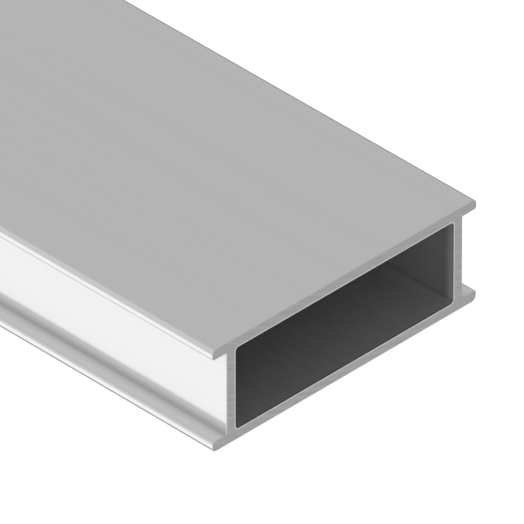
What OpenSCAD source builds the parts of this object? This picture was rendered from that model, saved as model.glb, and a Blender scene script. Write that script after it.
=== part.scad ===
// Aluminium extrusion profile: a flat rectangular hollow section whose top and
// bottom flanges stand out past the webs as lips, with a shallow channel down each side.
// One piece of mill-length stock, lying flat, with its length along X and its width
// along Y. The origin is the centre of the underside.

/* [Stock] */
// Length of the bar
bar_length = 1000; // [100:50:6000]
// Overall width, from lip to lip
section_w = 75; // [40:1:150]
// Overall height, from underside to top
section_h = 25; // [16:1:60]

/* [Walls] */
// Thickness of the flanges and the webs
wall = 2.5; // [2:0.1:4]
// How far each lip stands out past its web
lip = 4; // [2:0.5:8]

/* [Corners] */
// Radius along the outer edge of each lip
lip_outer_r = 1.2; // [0.2:0.1:1.2]
// Radius along the channel edge of each lip
lip_inner_r = 0.6; // [0.2:0.1:0.8]
// Radius of the fillet where a lip meets its web
web_fillet_r = 0.3; // [0.2:0.1:1.6]
// Radius in the corners of the hollow
hollow_r = 1; // [0.2:0.1:3]

/* [Hidden] */
$fn = 48;
// The hollow, inside the two webs and the two flanges
hollow_w = section_w - 2 * (lip + wall);
hollow_h = section_h - 2 * wall;
// The side channels are as high as the hollow
channel_h = hollow_h;

// A rectangle about the origin with all four corners rounded
module rounded_rectangle(w, h, r) {
    square([w - 2 * r, h], center = true);
    square([w, h - 2 * r], center = true);
    for (x = [-1, 1], y = [-1, 1])
        translate([x * (w / 2 - r), y * (h / 2 - r)])
            circle(r);
}

// What is taken off a sharp corner at the origin to round it to radius r.
// The corner's material lies towards -X and +Y.
module corner_waste(r) {
    difference() {
        translate([-r, 0])
            square(r);
        translate([-r, r])
            circle(r);
    }
}

// The open channel on the +X side of the section, between the two lips
module side_channel() {
    translate([section_w / 2, 0]) {
        rounded_rectangle(2 * lip, channel_h, web_fillet_r);
        for (flip = [0, 1])
            mirror([0, flip])
                translate([0, channel_h / 2])
                    corner_waste(lip_inner_r);
    }
}

// The section as the die gives it, centred on the origin
module section() {
    difference() {
        rounded_rectangle(section_w, section_h, lip_outer_r);
        rounded_rectangle(hollow_w, hollow_h, hollow_r);
        for (side = [0, 1])
            mirror([side, 0])
                side_channel();
    }
}

// The whole bar, sawn square at both ends
module profile() {
    color("silver")
        translate([0, 0, section_h / 2])
            rotate([90, 0, 90])
                linear_extrude(height = bar_length, center = true)
                    section();
}

profile();
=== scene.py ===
# %% [markdown]
# # A length of aluminium extrusion
#
# The real thing is one piece of metal. A hot billet is pushed through a steel die, and what comes
# out is as long as the press bed, with the same section all the way: a flat box whose top and
# bottom walls stand out past its sides as four lips. Then it is sawn to length. This lesson makes
# it the same way round: the opening of the die is drawn flat, pushed along X, and cut off square.
#
# First comes the frame, the part as it was built in CAD. It says how long, wide and high the bar
# is and where it lies, so nothing here is placed by eye.

# %% The frame and its sizes
from math import atan, cos, radians, sin, sqrt

import bmesh
import bpy
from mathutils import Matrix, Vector


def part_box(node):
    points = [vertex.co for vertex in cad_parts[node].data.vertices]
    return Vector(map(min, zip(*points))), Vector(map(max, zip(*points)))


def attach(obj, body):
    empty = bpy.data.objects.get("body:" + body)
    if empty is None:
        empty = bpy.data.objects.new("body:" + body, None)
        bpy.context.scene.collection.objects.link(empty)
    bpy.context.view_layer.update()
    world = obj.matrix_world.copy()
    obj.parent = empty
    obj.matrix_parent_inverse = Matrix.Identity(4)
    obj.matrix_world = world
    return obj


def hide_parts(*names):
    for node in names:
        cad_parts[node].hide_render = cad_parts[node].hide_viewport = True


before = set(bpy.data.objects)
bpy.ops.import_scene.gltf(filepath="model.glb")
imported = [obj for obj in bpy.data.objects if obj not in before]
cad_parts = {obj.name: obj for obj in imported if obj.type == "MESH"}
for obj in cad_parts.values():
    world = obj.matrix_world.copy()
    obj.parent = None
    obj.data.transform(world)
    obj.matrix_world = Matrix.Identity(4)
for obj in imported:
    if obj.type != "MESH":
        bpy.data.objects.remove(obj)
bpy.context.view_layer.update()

MM = 0.001
MICRON = 0.001 * MM
bar_low, bar_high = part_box("profile")
LENGTH, WIDTH, HEIGHT = bar_high - bar_low
MIDDLE_Z = (bar_low.z + bar_high.z) / 2
print(f"bar: {LENGTH / MM:.1f} x {WIDTH / MM:.1f} x {HEIGHT / MM:.1f} mm")

# %% [markdown]
# ## The camera
#
# The bar is looked at as in an isometric drawing: turned by 45 degrees, and from so high that its
# length, width and height all shrink by the same share. A drawing has no vanishing point, and a
# very long lens from almost five metres away comes close to that. It beats an orthographic camera
# here, because moving it back brings the whole bar into view, which a look from another side
# needs. It is aimed past the near bottom corner, so the sawn end stands right of the middle.

# %% The camera
LENS_MM = 1650
SENSOR_MM = 36
AZIMUTH = radians(45)
ELEVATION = atan(1 / sqrt(2))
VIEW_WIDTH = 104.7 * MM
AIM_RIGHT = 9.89 * MM
AIM_UP = 38.23 * MM
FARTHEST_SEEN = 100.0
TO_CAMERA = Vector((sin(AZIMUTH) * cos(ELEVATION), -cos(AZIMUTH) * cos(ELEVATION), sin(ELEVATION)))
SCREEN_RIGHT = Vector((cos(AZIMUTH), sin(AZIMUTH), 0))
SCREEN_UP = TO_CAMERA.cross(SCREEN_RIGHT)


def add_camera():
    near_corner = Vector((bar_high.x, bar_low.y, bar_low.z))
    aim = near_corner + SCREEN_RIGHT * AIM_RIGHT + SCREEN_UP * AIM_UP
    lens = bpy.data.cameras.new("long_lens")
    lens.lens = LENS_MM
    lens.sensor_width = SENSOR_MM
    lens.clip_end = FARTHEST_SEEN
    camera = bpy.data.objects.new("camera", lens)
    camera.location = aim + TO_CAMERA * (VIEW_WIDTH * LENS_MM / SENSOR_MM)
    camera.rotation_mode = "QUATERNION"
    camera.rotation_quaternion = TO_CAMERA.to_track_quat("Z", "Y")
    bpy.context.scene.collection.objects.link(camera)
    bpy.context.scene.camera = camera
    return camera


camera = add_camera()
print(f"camera: {camera.location.length:.2f} m from the middle of the bar")

# %% [markdown]
# ## Nodes by name
#
# A material or a world is a small net of nodes. The first of these helpers adds a node, sets it
# up and joins its inputs, so that each finish further on reads as a list of what is in it. The
# others are what is needed most: one sum, one range mapped on to another, and a value that is
# made smaller or larger inside a mask only.

# %% Helpers for nodes
def add_node(tree, kind, inputs=None, **settings):
    """Adds a node. An input is a value, or another node's output to join to it."""
    node = tree.nodes.new(kind)
    for name, value in settings.items():
        setattr(node, name, value)
    for name, value in (inputs or {}).items():
        if isinstance(value, bpy.types.NodeSocket):
            tree.links.new(value, node.inputs[name])
        else:
            node.inputs[name].default_value = value
    return node


def calculate(tree, operation, first, second=0.0, third=0.0):
    """One Math node, and its result."""
    inputs = {0: first, 1: second, 2: third}
    return add_node(tree, "ShaderNodeMath", inputs, operation=operation).outputs[0]


def spread(tree, value, low, high, new_low=0.0, new_high=1.0, **settings):
    """Maps a value from one range to another, and stops at both ends."""
    inputs = {"Value": value, "From Min": low, "From Max": high, "To Min": new_low, "To Max": new_high}
    return add_node(tree, "ShaderNodeMapRange", inputs, **settings).outputs["Result"]


def scale_where(tree, value, mask, factor):
    """Multiplies a value by the factor where the mask is 1, and leaves it where the mask is 0."""
    return calculate(tree, "MULTIPLY", value, calculate(tree, "MULTIPLY_ADD", mask, factor - 1.0, 1.0))


print("node helpers: add_node, calculate, spread, scale_where")

# %% [markdown]
# ## The room
#
# Bare aluminium is a soft mirror, so its tones are those of what stands round it, and lighting it
# is a matter of what it can mirror. Lamps alone would light this bar badly: a flat mirror shows a
# lamp or it doesn't. So the world round the bar is painted, in greys that change with direction.
# The room is an even light grey, a little lighter on the -Y side. The floor in it is a light
# table, white on the -Y side and grey on the far side. So the top face mirrors the grey room, the
# web the white table, and the sawn end the grey of it.
#
# Metal in front of white loses its outline. In a studio, black cards are put where only the round
# edges can mirror them, and each draws a thin dark line. There are two here, one low along the far
# wall for the far top edge, and one on the table to the left for the edges underneath. To the
# camera itself the whole world is white.

# %% The room, the table in it and two black cards
WHITE = (1.0, 1.0, 1.0, 1.0)
ROOM_NEAR = 0.63
ROOM_FAR = 0.502
ROOM_TURNS_AT = (-0.35, 0.05)
TABLE_NEAR = 0.993
TABLE_FAR = 0.39
TABLE_TURNS_AT = (-0.5, 0.0)
TABLE_EDGE_AT = (-0.25, -0.42)
FAR_CARD_SIDE_AT = (0.35, 0.55)
FAR_CARD_TOP_AT = (0.35, 0.15)
FAR_CARD_SHARE = 0.55
LOW_CARD_WAY = Vector((-0.577, 0.17, -0.80)).normalized()
LOW_CARD_EDGE = (cos(radians(24)), cos(radians(14)))
LOW_CARD_SHARE = 0.25


def light_the_room():
    world = bpy.data.worlds.new("room")
    world.use_nodes = True
    tree = world.node_tree
    tree.nodes.clear()
    direction = add_node(tree, "ShaderNodeTexCoord").outputs["Generated"]
    look = add_node(tree, "ShaderNodeSeparateXYZ", {"Vector": direction}).outputs
    above = spread(tree, look["Y"], *ROOM_TURNS_AT, ROOM_NEAR, ROOM_FAR)
    below = spread(tree, look["Y"], *TABLE_TURNS_AT, TABLE_NEAR, TABLE_FAR)
    is_far = spread(tree, look["Y"], *FAR_CARD_SIDE_AT)
    far_card = calculate(tree, "MULTIPLY", is_far, spread(tree, look["Z"], *FAR_CARD_TOP_AT))
    above = scale_where(tree, above, far_card, FAR_CARD_SHARE)
    both_ways = {0: direction, 1: LOW_CARD_WAY}
    towards = add_node(tree, "ShaderNodeVectorMath", both_ways, operation="DOT_PRODUCT")
    low_card = spread(tree, towards.outputs["Value"], *LOW_CARD_EDGE)
    below = scale_where(tree, below, low_card, LOW_CARD_SHARE)
    is_down = spread(tree, look["Z"], *TABLE_EDGE_AT)
    level = add_node(tree, "ShaderNodeMix", {"Factor": is_down, "A": above, "B": below}).outputs["Result"]
    straight = add_node(tree, "ShaderNodeLightPath").outputs["Is Camera Ray"]
    seen = add_node(tree, "ShaderNodeMix", {"Factor": straight, "A": level, "B": 1.0}).outputs["Result"]
    light = add_node(tree, "ShaderNodeBackground", {"Color": WHITE, "Strength": seen})
    output = add_node(tree, "ShaderNodeOutputWorld")
    tree.links.new(light.outputs["Background"], output.inputs["Surface"])
    return world


room = light_the_room()
bpy.context.scene.world = room
bpy.context.scene.view_settings.view_transform = "Standard"
print(f"room: {len(room.node_tree.nodes)} nodes")

# %% [markdown]
# ## The floor
#
# The bar lies on a pale floor that glows a little, as a light table does, so it looks white and
# shows hardly any shadow. The floor is kept out of reflections, where the table in the world
# stands in for it: that one can be white on one side and grey on the other.

# %% The floor
PALE_GREY = (0.4, 0.4, 0.4, 1.0)
FLOOR_SIZE = 60.0
FLOOR_GLOW = 0.80


def lay_floor():
    bpy.ops.mesh.primitive_plane_add(size=FLOOR_SIZE, location=(0, 0, bar_low.z))
    floor = bpy.context.object
    floor.name = "floor"
    table = bpy.data.materials.new("light_table")
    table.use_nodes = True
    shader = table.node_tree.nodes["Principled BSDF"]
    shader.inputs["Base Color"].default_value = PALE_GREY
    shader.inputs["Roughness"].default_value = 1.0
    shader.inputs["Specular IOR Level"].default_value = 0.0
    shader.inputs["Emission Color"].default_value = WHITE
    shader.inputs["Emission Strength"].default_value = FLOOR_GLOW
    floor.data.materials.append(table)
    floor.visible_glossy = False
    return floor


floor = lay_floor()
print(f"floor: {FLOOR_SIZE:.0f} m square")

# %% [markdown]
# ## The softbox
#
# A wide panel high above the bar gives the dull places, such as the burr and the wall of the
# hollow, a little light from above. It is out of reflections too, or the top face would show it.

# %% The softbox
SOFTBOX_SIZE = 4.0
SOFTBOX_HEIGHT = 5.0
SOFTBOX_WATTS = 60


def hang_softbox():
    panel = bpy.data.lights.new("softbox", "AREA")
    panel.shape = "SQUARE"
    panel.size = SOFTBOX_SIZE
    panel.energy = SOFTBOX_WATTS
    softbox = bpy.data.objects.new("softbox", panel)
    softbox.location = (0, 0, SOFTBOX_HEIGHT)
    softbox.visible_glossy = False
    bpy.context.scene.collection.objects.link(softbox)
    return softbox


softbox = hang_softbox()
print(f"softbox: {SOFTBOX_SIZE:.0f} m square, {softbox.data.energy:.0f} W")

# %% [markdown]
# ## Choosing by place
#
# Modelling by hand is a row of two things: pick some points, edges or faces, then push, cut or
# round them. Here the picking is done in words of place, such as all edges that run along the bar
# at the outer corners, and the pushing is done with Blender's own tools.

# %% Helpers for picking
TOUCH = 0.01 * MM


def near(value, *targets):
    return any(abs(value - target) < TOUCH for target in targets)


def pick(kind, wanted):
    """In edit mode, selects only the points, edges or faces for which wanted(it) holds."""
    bpy.ops.mesh.select_mode(type=kind)
    bpy.ops.mesh.select_all(action="DESELECT")
    shape = bmesh.from_edit_mesh(bpy.context.object.data)
    items = {"VERT": shape.verts, "EDGE": shape.edges, "FACE": shape.faces}[kind]
    for item in items:
        item.select_set(wanted(item))
    bmesh.update_edit_mesh(bpy.context.object.data)


def middle(edge):
    return (edge.verts[0].co + edge.verts[1].co) / 2


def runs_along_bar(edge):
    return abs(edge.verts[0].co.x - edge.verts[1].co.x) > LENGTH / 2


print(f"picking: places count as the same within {TOUCH / MICRON:.0f} microns")

# %% [markdown]
# ## The opening of the die
#
# The section is a rectangle with three pieces missing: the hollow in the middle and a channel on
# each side. One plane as wide and high as the bar is cut along the inner and outer faces of the
# walls, which leaves a small grid. The cells of the hollow and the channels are deleted. What
# matters of the rest is only its outline, so its inner lines go too. Typing in the points of the
# outline would do as well, but cuts at the walls' own faces can't get out of step.

# %% Draw the section flat
WALL = 2.5 * MM
LIP = 4.0 * MM
WEB_OUT = WIDTH / 2 - LIP
WEB_IN = WEB_OUT - WALL
FLOOR_Z = bar_low.z + WALL
ROOF_Z = bar_high.z - WALL
DEBURR = 0.1 * MM


def add_blank():
    """A flat rectangle as wide and high as the bar, just inside the bar's back end."""
    bpy.ops.object.select_all(action="DESELECT")
    centre = (bar_low.x + DEBURR, 0, MIDDLE_Z)
    bpy.ops.mesh.primitive_plane_add(size=1, location=centre, rotation=(0, radians(90), 0))
    blank = bpy.context.object
    blank.name = "extruded_bar"
    blank.scale = (HEIGHT, WIDTH, 1)
    bpy.ops.object.transform_apply(location=True, rotation=True, scale=True)
    return blank


def is_open(cell):
    """True for the cells of the hollow and of the two side channels."""
    centre = cell.calc_center_median()
    in_a_web = WEB_IN < abs(centre.y) < WEB_OUT
    return FLOOR_Z < centre.z < ROOF_Z and not in_a_web


def cut_section():
    cuts = [((0, y, 0), (0, 1, 0)) for y in (-WEB_OUT, -WEB_IN, WEB_IN, WEB_OUT)]
    cuts += [((0, 0, z), (0, 0, 1)) for z in (FLOOR_Z, ROOF_Z)]
    for place, across in cuts:
        bpy.ops.mesh.select_all(action="SELECT")
        bpy.ops.mesh.bisect(plane_co=place, plane_no=across)
    pick("FACE", is_open)
    bpy.ops.mesh.delete(type="FACE")
    bpy.ops.mesh.select_all(action="SELECT")
    bpy.ops.mesh.region_to_loop()
    bpy.ops.mesh.select_all(action="INVERT")
    bpy.ops.mesh.delete(type="EDGE")


bar = add_blank()
bpy.ops.object.mode_set(mode="EDIT")
cut_section()
print(f"section: outline of {len(bmesh.from_edit_mesh(bar.data).edges)} straight edges")

# %% [markdown]
# ## Out of the press
#
# Pushing the outline along X gives two open skins, one outside and one round the hollow. The cut
# lines left points in the middle of flat sides, so the flats are merged back into single faces.

# %% Push it through
SAME_PLANE = radians(1)


def push_through():
    bpy.ops.mesh.select_mode(type="EDGE")
    bpy.ops.mesh.select_all(action="SELECT")
    run = LENGTH - 2 * DEBURR
    bpy.ops.mesh.extrude_region_move(TRANSFORM_OT_translate={"value": (run, 0, 0)})
    bpy.ops.mesh.select_all(action="SELECT")
    bpy.ops.mesh.normals_make_consistent(inside=False)
    bpy.ops.mesh.dissolve_limited(angle_limit=SAME_PLANE)


push_through()
print(f"pushed through: {len(bmesh.from_edit_mesh(bar.data).faces)} flat sides")

# %% [markdown]
# ## Rounded by the die
#
# A die can't be cut with sharp corners, and a sharp edge would not come out clean, so every long
# edge is round. The outer edges of the lips are the roundest, their channel edges are tighter, and
# small fillets fill the inner corners. Each group is picked by where it lies in the section.
# Bevelling while the ends are open keeps the arcs true.

# %% Round the long edges
ARC_STEPS = 12
TRUE_ARC = 0.5
ROUNDED = {
    "outer edges of the lips": (1.2 * MM, WIDTH / 2, (bar_low.z, bar_high.z)),
    "channel edges of the lips": (0.6 * MM, WIDTH / 2, (FLOOR_Z, ROOF_Z)),
    "fillets at the webs": (0.3 * MM, WEB_OUT, (FLOOR_Z, ROOF_Z)),
    "corners of the hollow": (1.0 * MM, WEB_IN, (FLOOR_Z, ROOF_Z)),
}


def round_long_edges(radius, half_width, heights):
    def wanted(edge):
        place = middle(edge)
        return runs_along_bar(edge) and near(abs(place.y), half_width) and near(place.z, *heights)

    pick("EDGE", wanted)
    bpy.ops.mesh.bevel(offset=radius, offset_type="OFFSET", segments=ARC_STEPS, profile=TRUE_ARC,
                       affect="EDGES", clamp_overlap=False)


for name, (radius, half_width, heights) in ROUNDED.items():
    round_long_edges(radius, half_width, heights)
    print(f"{name}: radius {radius / MM:.1f} mm")

# %% [markdown]
# ## Sawn to length
#
# The saw leaves a flat end with a sharp edge, and a few strokes of a file break that edge all
# round by a tenth of a millimetre. Filling the open outlines gives flat ends with the hollow left
# open. An inset then draws a narrow ring inside each outline, and pushing everything but the
# outer outline on by the ring's width makes the outer ring a 45 degree break. The file doesn't
# reach into the hollow, so its mouth stays square. A second inset makes the ring round the mouth
# as wide as the burr there, which gets its own finish.

# %% Close and deburr the ends
BURR_WIDTH = 0.25 * MM


def in_the_hollow(place, margin):
    return abs(place.y) < WEB_IN + margin and FLOOR_Z - margin < place.z < ROOF_Z + margin


def on_outer_outline(point):
    return any(map(runs_along_bar, point.link_edges)) and not in_the_hollow(point.co, TOUCH)


def close_end(x, outwards):
    pick("EDGE", lambda edge: edge.is_boundary and near(middle(edge).x, x))
    bpy.ops.mesh.fill(use_beauty=True)
    for ring in (DEBURR, BURR_WIDTH - DEBURR):
        bpy.ops.mesh.inset(thickness=ring, depth=0, use_even_offset=True, use_boundary=True)
    pick("VERT", lambda point: near(point.co.x, x) and not on_outer_outline(point))
    bpy.ops.transform.translate(value=(outwards * DEBURR, 0, 0))


close_end(bar_low.x + DEBURR, outwards=-1)
close_end(bar_high.x - DEBURR, outwards=1)
bpy.ops.mesh.select_all(action="SELECT")
bpy.ops.mesh.normals_make_consistent(inside=False)
bpy.ops.object.mode_set(mode="OBJECT")
print(f"bar: {len(bar.data.polygons)} faces")

# %% [markdown]
# ## Smooth where it is round
#
# Shading by angle keeps the filed edges crisp and the arcs smooth. The flats are huge beside the
# narrow strips of the arcs, and weighting the normals by area keeps them perfectly flat in the
# reflection.

# %% Shade the bar
SHARP_FROM = radians(30)
BY_AREA_ONLY = 100


def shade(piece):
    bpy.ops.object.select_all(action="DESELECT")
    bpy.context.view_layer.objects.active = piece
    piece.select_set(True)
    bpy.ops.object.shade_smooth_by_angle(angle=SHARP_FROM)
    weighting = piece.modifiers.new("flat_sides", "WEIGHTED_NORMAL")
    weighting.keep_sharp = True
    weighting.weight = BY_AREA_ONLY
    bpy.ops.object.modifier_apply(modifier=weighting.name)


shade(bar)
print(f"shaded: {len(bar.modifiers)} modifiers left on the bar")

# %% [markdown]
# ## Effects as groups
#
# A finish is built from a few effects: lines, grain, a darker corner. An effect that several
# finishes use is a group, a net of nodes in a box with named inputs and outputs, made once and
# placed in each material with its own values. All of them read Object coordinates, the place on
# the bar in metres, so a line that is 0.4 mm wide is exactly that on every face.

# %% Helpers for groups
def new_group(name, inputs, output):
    """A shader group of numbers. Returns its tree, its inputs and the socket to fill."""
    tree = bpy.data.node_groups.new(name, "ShaderNodeTree")
    for label, value in inputs.items():
        socket = tree.interface.new_socket(label, in_out="INPUT", socket_type="NodeSocketFloat")
        socket.default_value = value
    tree.interface.new_socket(output, in_out="OUTPUT", socket_type="NodeSocketFloat")
    given = add_node(tree, "NodeGroupInput").outputs
    return tree, given, add_node(tree, "NodeGroupOutput").inputs[output]


def place_on_bar(tree):
    """The place on the bar of the point that is being shaded."""
    return add_node(tree, "ShaderNodeTexCoord").outputs["Object"]


def parts_of(tree, place):
    """The X, Y and Z of a place, by name."""
    return add_node(tree, "ShaderNodeSeparateXYZ", {"Vector": place}).outputs


USUAL_NOISE = (0.25, 0.75)


def noise(tree, size, **inputs):
    """Noise with blotches of this size, stretched to run from 0 to 1."""
    settings = {"noise_dimensions": "1D"} if "W" in inputs else {}
    inputs["Scale"] = calculate(tree, "DIVIDE", 1.0, size)
    blotches = add_node(tree, "ShaderNodeTexNoise", inputs, **settings)
    return spread(tree, blotches.outputs["Fac"], *USUAL_NOISE)


print("group helpers: new_group, place_on_bar, parts_of, noise")

# %% [markdown]
# ## Lines from the die
#
# The die's bearing rubs a fine set of lines into the metal, straight along the bar, and the flow
# of the metal leaves broader bands that are hardly there. Both are noise that is drawn out along
# X: it changes every fraction of a millimetre across the bar, and only slowly along it. A painted
# line would repeat, and a wave would look machined, so noise it is. With a short run, and only
# its highest values kept, the same group gives a few short streaks.

# %% Group: die lines
def make_die_lines():
    tree, given, lines = new_group("die_lines", {"Width": 0.4 * MM, "Run": 250 * MM}, "Lines")
    at = parts_of(tree, place_on_bar(tree))
    slowness = calculate(tree, "DIVIDE", given["Width"], given["Run"])
    slow_x = calculate(tree, "MULTIPLY", at["X"], slowness)
    drawn_out = add_node(tree, "ShaderNodeCombineXYZ", {"X": slow_x, "Y": at["Y"], "Z": at["Z"]})
    place = drawn_out.outputs["Vector"]
    tree.links.new(noise(tree, given["Width"], Vector=place, Detail=3.0), lines)
    return tree


die_lines = make_die_lines()
print("group:", die_lines.name)

# %% [markdown]
# ## Fine grain
#
# Under the lines, bare aluminium has a fine even grain that makes its mirror soft. Every finish
# of the bar has it, finer or coarser. Plain noise in all three directions is right for this: it
# favours no direction, and it runs on round the corners without a seam.

# %% Group: metal grain
def make_metal_grain():
    tree, given, grain = new_group("metal_grain", {"Size": 0.3 * MM}, "Grain")
    place = place_on_bar(tree)
    tree.links.new(noise(tree, given["Size"], Vector=place, Detail=4.0), grain)
    return tree


metal_grain = make_metal_grain()
print("group:", metal_grain.name)

# %% [markdown]
# ## Inner corners
#
# Where a lip meets its web, and in the corners of the hollow, the finishes paint shade: those
# corners are made a shade darker, and the painted shade fades out within a few millimetres. The
# group measures how far a point is from the nearest of four lines along the bar, which lie a given
# half width and half height from the bar's middle. The same measure serves whatever else follows
# a corner, such as a painted sheen on a strip beside it or a dish in its faces.

# %% Group: inner corners
HALF_GAP = ROOF_Z - MIDDLE_Z


def step_length(tree, first, second):
    """How long a step of first one way and second the other way is."""
    both = add_node(tree, "ShaderNodeCombineXYZ", {"X": first, "Y": second}).outputs["Vector"]
    return add_node(tree, "ShaderNodeVectorMath", {0: both}, operation="LENGTH").outputs["Value"]


def fade(tree, distance, reach):
    """1 where the distance is nothing, and softly down to 0 at the reach."""
    return spread(tree, distance, 0.0, reach, 1.0, 0.0, interpolation_type="SMOOTHSTEP")


def make_inner_corners():
    inputs = {"Half Width": WEB_OUT, "Half Height": HALF_GAP, "Reach": 2.0 * MM}
    tree, given, corner_shade = new_group("inner_corners", inputs, "Corner")
    at = parts_of(tree, place_on_bar(tree))
    height = calculate(tree, "ABSOLUTE", calculate(tree, "SUBTRACT", at["Z"], MIDDLE_Z))
    from_web = calculate(tree, "SUBTRACT", calculate(tree, "ABSOLUTE", at["Y"]), given["Half Width"])
    from_flange = calculate(tree, "SUBTRACT", height, given["Half Height"])
    # The finishes use this fade for their painted corner shade, and also for a painted sheen and a dish.
    tree.links.new(fade(tree, step_length(tree, from_web, from_flange), given["Reach"]), corner_shade)
    return tree


inner_corners = make_inner_corners()
print("group:", inner_corners.name)

# %% [markdown]
# ## Near the ends
#
# Sawing and deburring leave their traces in the mouth of the hollow, so a finish needs to know
# how far it is to the nearest end. Length along the bar is all that counts here.

# %% Group: near the ends
def make_near_the_ends():
    tree, given, nearness = new_group("near_the_ends", {"Reach": 10 * MM}, "Nearness")
    at = parts_of(tree, place_on_bar(tree))
    to_end = calculate(tree, "SUBTRACT", LENGTH / 2, calculate(tree, "ABSOLUTE", at["X"]))
    tree.links.new(fade(tree, to_end, given["Reach"]), nearness)
    return tree


near_the_ends = make_near_the_ends()
print("group:", near_the_ends.name)

# %% [markdown]
# ## Saw marks
#
# A cold saw leaves shallow arcs on the end, as wide apart as the blade moves on for each tooth.
# Their centre is the blade's axle, well above the bar. The arcs are noise that depends only on
# the distance from that axle, with a little wobble, so that no two of them are alike.

# %% Group: saw marks
AXLE_Y = 50 * MM
AXLE_Z = 170 * MM
WOBBLE_SIZE = 15 * MM


def make_saw_marks():
    tree, given, marks = new_group("saw_marks", {"Width": 0.7 * MM}, "Marks")
    place = place_on_bar(tree)
    at = parts_of(tree, place)
    sideways = calculate(tree, "SUBTRACT", at["Y"], AXLE_Y)
    upwards = calculate(tree, "SUBTRACT", at["Z"], AXLE_Z)
    from_axle = step_length(tree, sideways, upwards)
    wobble = noise(tree, WOBBLE_SIZE, Vector=place, Detail=1.0)
    pushed = calculate(tree, "MULTIPLY_ADD", wobble, given["Width"], from_axle)
    tree.links.new(noise(tree, given["Width"], W=pushed, Detail=2.0), marks)
    return tree


saw_marks = make_saw_marks()
print("group:", saw_marks.name)

# %% [markdown]
# ## Putting a finish together
#
# Every finish is the same metal with other values: a tone and a roughness that the effects push
# up and down a little, and a relief a few thousandths of a millimetre high. Each effect becomes
# one line: where it is, what it changes, and by how much. What is the same all over, such as
# Metallic, stays on the shader itself.

# %% Helpers for finishes
def new_metal(name, metallic=1.0):
    metal = bpy.data.materials.new(name)
    metal.use_nodes = True
    metal.node_tree.nodes["Principled BSDF"].inputs["Metallic"].default_value = metallic
    return metal, metal.node_tree


def effect(tree, group, **inputs):
    """Places a group in a material, and gives its one output."""
    node = add_node(tree, "ShaderNodeGroup", node_tree=group)
    for label, value in inputs.items():
        node.inputs[label.replace("_", " ")].default_value = value
    return node.outputs[0]


def vary(tree, value, mask, share):
    """Moves a value by a share of itself, down where the mask is 0 and up where it is 1."""
    factor = calculate(tree, "MULTIPLY_ADD", mask, share, 1.0 - share / 2)
    return calculate(tree, "MULTIPLY", value, factor)


def plug_in(tree, tone, roughness, reliefs):
    """Joins the grey tone, the roughness and the reliefs, each a mask and its height in metres."""
    shader = tree.nodes["Principled BSDF"]
    grey = add_node(tree, "ShaderNodeCombineColor", {"Red": tone, "Green": tone, "Blue": tone})
    tree.links.new(grey.outputs["Color"], shader.inputs["Base Color"])
    tree.links.new(roughness, shader.inputs["Roughness"])
    total = 0.0
    for mask, height in reliefs:
        total = calculate(tree, "MULTIPLY_ADD", mask, height, total)
    bump = add_node(tree, "ShaderNodeBump", {"Height": total, "Distance": 1.0})
    tree.links.new(bump.outputs["Normal"], shader.inputs["Normal"])


print("finish helpers: new_metal, effect, vary, plug_in")

# %% [markdown]
# ## The extruded skin
#
# Mill finish: bright, a little milky, with the die's lines along it. The mirror is soft, which is
# a roughness of 0.15. The lines move the tone by a few hundredths, no more, or the face looks
# brushed. Shade is painted into the corner beside each lip: it is made darker there, and the painted
# shade is darkest in the seam of the fillet itself. The thick corner also shrinks last, which
# leaves the faces beside it dished by some two tenths of a millimetre. That is too little to see
# as a shape, but it bends what the web mirrors. Here and there a fleck of metal that tore loose
# in the die is drawn out into a short dull streak.

# %% Finish: extruded skin
RARE_NOISE = (0.85, 0.95)


def extruded_skin(tone=0.905, roughness=0.15):
    metal, tree = new_metal("extruded_skin")
    lines = effect(tree, die_lines, Width=0.4 * MM, Run=250 * MM)
    bands = effect(tree, die_lines, Width=7 * MM, Run=250 * MM)
    flecks = spread(tree, effect(tree, die_lines, Width=0.25 * MM, Run=3 * MM), *RARE_NOISE)
    grain = effect(tree, metal_grain, Size=0.3 * MM)
    # Painted shade: the corner beside each lip is made darker, and darkest in the seam of the fillet.
    corner_shade = effect(tree, inner_corners, Half_Width=WEB_OUT + 0.3 * MM, Reach=2.3 * MM)
    fillet_shade = effect(tree, inner_corners, Half_Width=WEB_OUT, Reach=0.6 * MM)
    dish = effect(tree, inner_corners, Half_Width=WEB_OUT, Reach=4.5 * MM)
    tone = vary(tree, tone, lines, share=0.03)
    tone = vary(tree, tone, bands, share=0.02)
    tone = scale_where(tree, tone, flecks, factor=0.97)
    # The painted shade of the corner and of the fillet seam goes into the tone here.
    tone = scale_where(tree, tone, corner_shade, factor=0.84)
    tone = scale_where(tree, tone, fillet_shade, factor=0.75)
    roughness = vary(tree, roughness, lines, share=0.5)
    roughness = scale_where(tree, roughness, flecks, factor=1.6)
    plug_in(tree, tone, roughness, [(lines, 1 * MICRON), (grain, 0.5 * MICRON), (dish, 230 * MICRON)])
    return metal


skin = extruded_skin()
print("finish:", skin.name)

# %% [markdown]
# ## The wall of the hollow
#
# Nobody sees the inside of a bar, and nothing polishes it: it stays dull, with coarser lines. Its
# tone is set far darker than the skin's, partly for that duller finish and partly as painted shade
# of the deep hollow. Metallic is below 1 here, because a thick oxide scatters light as paint does,
# and with it the hollow gets evenly darker towards its depth instead of mirroring its own mouth.
# The corners are painted darker as shade, and a painted sheen makes a slightly brighter strip on
# the flange beside each of them.
#
# The last millimetres are darker towards the ends, more so on the webs and most at the very rim.
# A painted highlight, for the light that falls into the mouth, makes a bright strip on the webs.

# %% Finish: hollow wall
WEB_BEGINS_AT = (WEB_IN - 0.6 * MM, WEB_IN - 0.1 * MM)


# Painted shade in part: the tone is far below the skin's, both for the duller inner finish and for the
# shade deep in the hollow.
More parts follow.
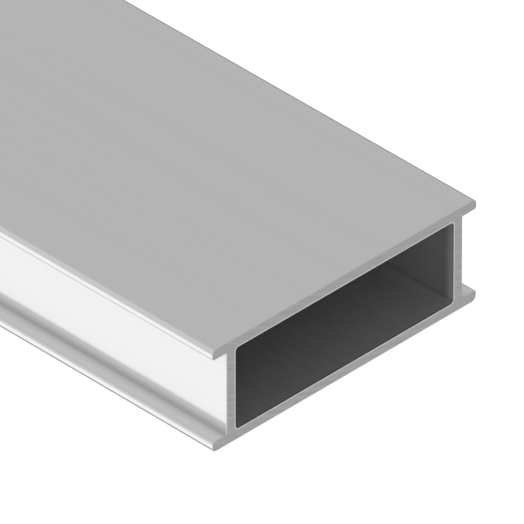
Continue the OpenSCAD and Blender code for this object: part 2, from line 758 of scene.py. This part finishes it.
def hollow_wall(tone=0.525, roughness=0.4):
    metal, tree = new_metal("hollow_wall", metallic=0.7)
    lines = effect(tree, die_lines, Width=0.8 * MM, Run=250 * MM)
    bands = effect(tree, die_lines, Width=4 * MM, Run=250 * MM)
    grain = effect(tree, metal_grain, Size=0.4 * MM)
    # Painted shade: the corners of the hollow are made darker.
    corner_shade = effect(tree, inner_corners, Half_Width=WEB_IN - 0.1 * MM,
                    Half_Height=HALF_GAP - 0.6 * MM, Reach=0.45 * MM)
    # Painted sheen: a strip of flange beside each corner is made brighter.
    corner_sheen = effect(tree, inner_corners, Half_Width=WEB_IN - 1.5 * MM, Reach=2.5 * MM)
    across = calculate(tree, "ABSOLUTE", parts_of(tree, place_on_bar(tree))["Y"])
    on_web = spread(tree, across, *WEB_BEGINS_AT)
    # The tone is made darker towards the ends: most within 0.7 mm of the rim, less within 8 mm, and on
    # the webs within 16 mm.
    rim = effect(tree, near_the_ends, Reach=0.7 * MM)
    darker_near_ends = effect(tree, near_the_ends, Reach=8 * MM)
    webs_darker_near_ends = calculate(tree, "MULTIPLY", on_web, effect(tree, near_the_ends, Reach=16 * MM))
    # Painted light: the webs are made brighter within 2.8 mm of each end, where light falls into the
    # mouth.
    mouth_light_on_webs = calculate(tree, "MULTIPLY", on_web, effect(tree, near_the_ends, Reach=2.8 * MM))
    tone = vary(tree, tone, lines, share=0.12)
    tone = vary(tree, tone, bands, share=0.06)
    tone = scale_where(tree, tone, corner_shade, factor=0.79)
    tone = scale_where(tree, tone, corner_sheen, factor=1.14)
    tone = scale_where(tree, tone, rim, factor=0.6)
    tone = scale_where(tree, tone, darker_near_ends, factor=0.83)
    tone = scale_where(tree, tone, webs_darker_near_ends, factor=0.82)
    tone = scale_where(tree, tone, mouth_light_on_webs, factor=1.95)
    roughness = vary(tree, roughness, grain, share=0.3)
    plug_in(tree, tone, roughness, [(lines, 4 * MICRON), (grain, 1 * MICRON)])
    return metal


hollow = hollow_wall()
print("finish:", hollow.name)

# %% [markdown]
# ## The sawn end
#
# A saw cuts a bright but rough face. The arcs of the teeth catch the light in turn, so they vary
# the tone and the roughness together, and a low relief tilts the mirror from arc to arc.

# %% Finish: sawn end
def sawn_end(tone=0.885, roughness=0.45):
    metal, tree = new_metal("sawn_end")
    marks = effect(tree, saw_marks, Width=0.7 * MM)
    grain = effect(tree, metal_grain, Size=0.2 * MM)
    tone = vary(tree, tone, marks, share=0.14)
    tone = vary(tree, tone, grain, share=0.05)
    roughness = vary(tree, roughness, marks, share=0.4)
    plug_in(tree, tone, roughness, [(marks, 8 * MICRON), (grain, 2 * MICRON)])
    return metal


sawn = sawn_end()
print("finish:", sawn.name)

# %% [markdown]
# ## The filed edge and the burr
#
# The file leaves bare metal with coarse scratches, on a strip too narrow to show more than grain.
# Round the mouth of the hollow it leaves the saw's burr, a rim a quarter of a millimetre wide. The
# tiny facets of a burr scatter light every way, so it looks as bright from all sides, and that is
# what a low Metallic does.

# %% Finishes: filed edge and burr
def filed_edge(tone=0.86, roughness=0.5):
    metal, tree = new_metal("filed_edge")
    grain = effect(tree, metal_grain, Size=0.3 * MM)
    tone = vary(tree, tone, grain, share=0.1)
    roughness = vary(tree, roughness, grain, share=0.3)
    plug_in(tree, tone, roughness, [(grain, 4 * MICRON)])
    return metal


def burr_rim(tone=0.76, roughness=0.5):
    metal, tree = new_metal("burr_rim", metallic=0.1)
    grain = effect(tree, metal_grain, Size=0.15 * MM)
    tone = vary(tree, tone, grain, share=0.2)
    roughness = vary(tree, roughness, grain, share=0.3)
    plug_in(tree, tone, roughness, [(grain, 4 * MICRON)])
    return metal


filed = filed_edge()
burr = burr_rim()
print("finishes:", filed.name, burr.name)

# %% [markdown]
# ## Dressing the bar
#
# The bar is one mesh with five finishes, and each face is given its own by which way it faces and
# where it is. Then the bar is handed to the frame: it rides on the one body that there is, and
# stands for the CAD bar.

# %% Dress the bar
FINISHES = [skin, hollow, sawn, filed, burr]
SKIN, HOLLOW, SAWN, FILED, BURR = range(len(FINISHES))
FACES_THE_END = 0.9
LEANS_TO_THE_END = 0.1


def finish_of(face):
    towards_end = abs(face.normal.x)
    if towards_end > FACES_THE_END:
        return BURR if in_the_hollow(face.center, BURR_WIDTH) else SAWN
    if towards_end > LEANS_TO_THE_END:
        return FILED
    return HOLLOW if in_the_hollow(face.center, TOUCH) else SKIN


def dress(piece):
    for finish in FINISHES:
        piece.data.materials.append(finish)
    for face in piece.data.polygons:
        face.material_index = finish_of(face)


dress(bar)
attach(bar, "root")
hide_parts("profile")
print(f"dressed: {len(bar.data.polygons)} faces in {len(FINISHES)} finishes")
